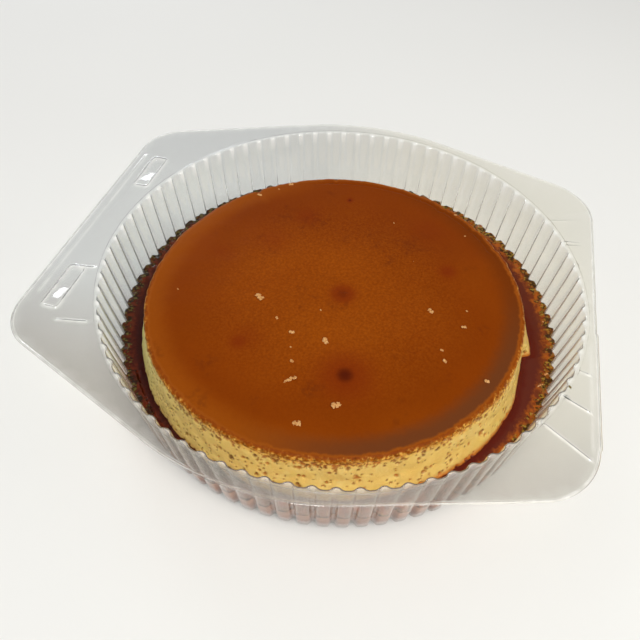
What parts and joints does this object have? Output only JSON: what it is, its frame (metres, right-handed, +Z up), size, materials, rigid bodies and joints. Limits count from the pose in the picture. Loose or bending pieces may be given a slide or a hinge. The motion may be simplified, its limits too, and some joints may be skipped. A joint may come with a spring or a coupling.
{
  "type": "leche flan in a clear fluted tray",
  "caption": "Round egg-custard flan with a glossy caramel top, standing in its caramel sauce in the clear fluted base of a take-away tray.",
  "frame": {"origin": "centre of the tray's outline, on the surface it stands on", "axes": "+Z up; +X towards the flange's hinge side, -X towards its latch side with the two snap pockets"},
  "size_m": [0.264, 0.253, 0.0552],
  "materials": {
    "clear_plastic": "clear thermoformed sheet, glossy, slightly milky",
    "custard": "moist baked egg custard, pale yellow, full of small browned bubbles",
    "soaked_caramel": "custard soaked with caramel, amber brown, wet and glossy",
    "caramel_sauce": "thin dark red-brown caramel syrup, wet"
  },
  "bodies": {
    "root": {"tray": "clear_plastic", "custard": "custard", "caramel_top": "soaked_caramel", "caramel_sauce": "caramel_sauce"}
  },
  "joints": []
}
